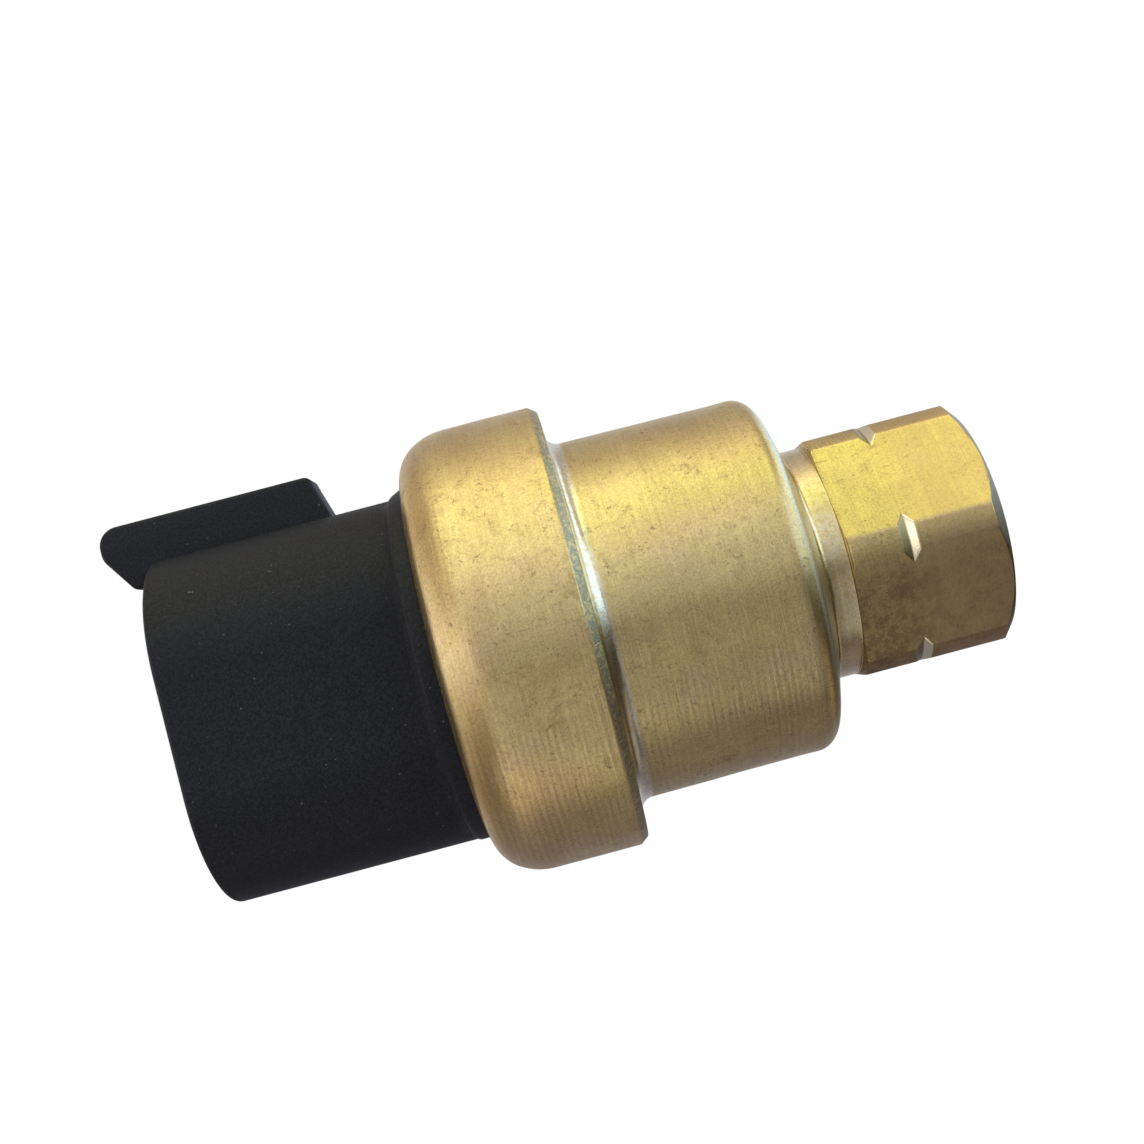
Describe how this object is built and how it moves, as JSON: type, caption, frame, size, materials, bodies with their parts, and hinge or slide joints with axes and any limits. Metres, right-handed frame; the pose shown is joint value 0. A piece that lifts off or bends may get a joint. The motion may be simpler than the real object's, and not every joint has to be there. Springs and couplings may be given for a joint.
{
  "type": "pressure switch",
  "caption": "Pressure switch with a hex female port, drawn brass body, rolled crimp ring and a black obround plug connector with a lock rib.",
  "frame": {"origin": "centre of the hex's end face, where the port opens", "axes": "+Z along the axis from the port to the connector, +X towards the lock rib"},
  "size_m": [0.0304, 0.0304, 0.0578],
  "materials": {
    "fitting_brass": "turned, satin yellow brass with stains",
    "body_brass": "satin yellow finish with fine turning marks",
    "ring_brass": "satin yellow finish with fine turning marks",
    "pale_brass": "plain machined",
    "black_plastic": "moulded, glass filled",
    "white_plastic": "moulded",
    "black_rubber": "matt",
    "amber_film": "polyimide film",
    "steel": "stainless",
    "spring_copper": "beryllium copper strip",
    "contact_silver": "silver face",
    "tinned_brass": "tin plated",
    "ceramic": "fired ceramic, stated as gloss plastic"
  },
  "bodies": {
    "switch_body": {"port_fitting": "fitting_brass", "port_o_ring": "black_rubber", "valve_depressor": "steel", "body_can": "body_brass", "crimp_ring": "ring_brass", "base_seal": "black_rubber", "connector_housing": "black_plastic", "cell_gasket": "black_rubber", "diaphragm": "amber_film", "clamp_ring": "pale_brass", "snap_disc": "steel", "disc_seat": "pale_brass", "pin_guide": "white_plastic", "spacer_sleeve": "pale_brass", "terminal_a": "tinned_brass", "terminal_b": "tinned_brass", "fixed_contact": "contact_silver", "spring_rivet": "pale_brass"},
    "plunger": {"pressure_plate": "steel", "transfer_pin": "ceramic"},
    "contact_arm": {"contact_spring": "spring_copper", "moving_contact": "contact_silver"}
  },
  "joints": [
    {"name": "plunger_slide", "type": "slide", "parent": "switch_body", "child": "plunger", "axis": [0, 0, 1], "range_m": [0, 0.0005], "stiffness_N_per_m": 2000, "deforming": ["diaphragm", "snap_disc"]},
    {"name": "arm_flex", "type": "hinge", "parent": "switch_body", "child": "contact_arm", "pos_m": [-0.005, 0, 0.0305], "axis": [0, -1, 0], "range_deg": [0, 5.75], "stiffness_Nm_per_rad": 0.01}
  ],
  "couplings": [
    {"joint": "arm_flex", "follows": "plunger_slide", "rad_per_m": 200}
  ]
}
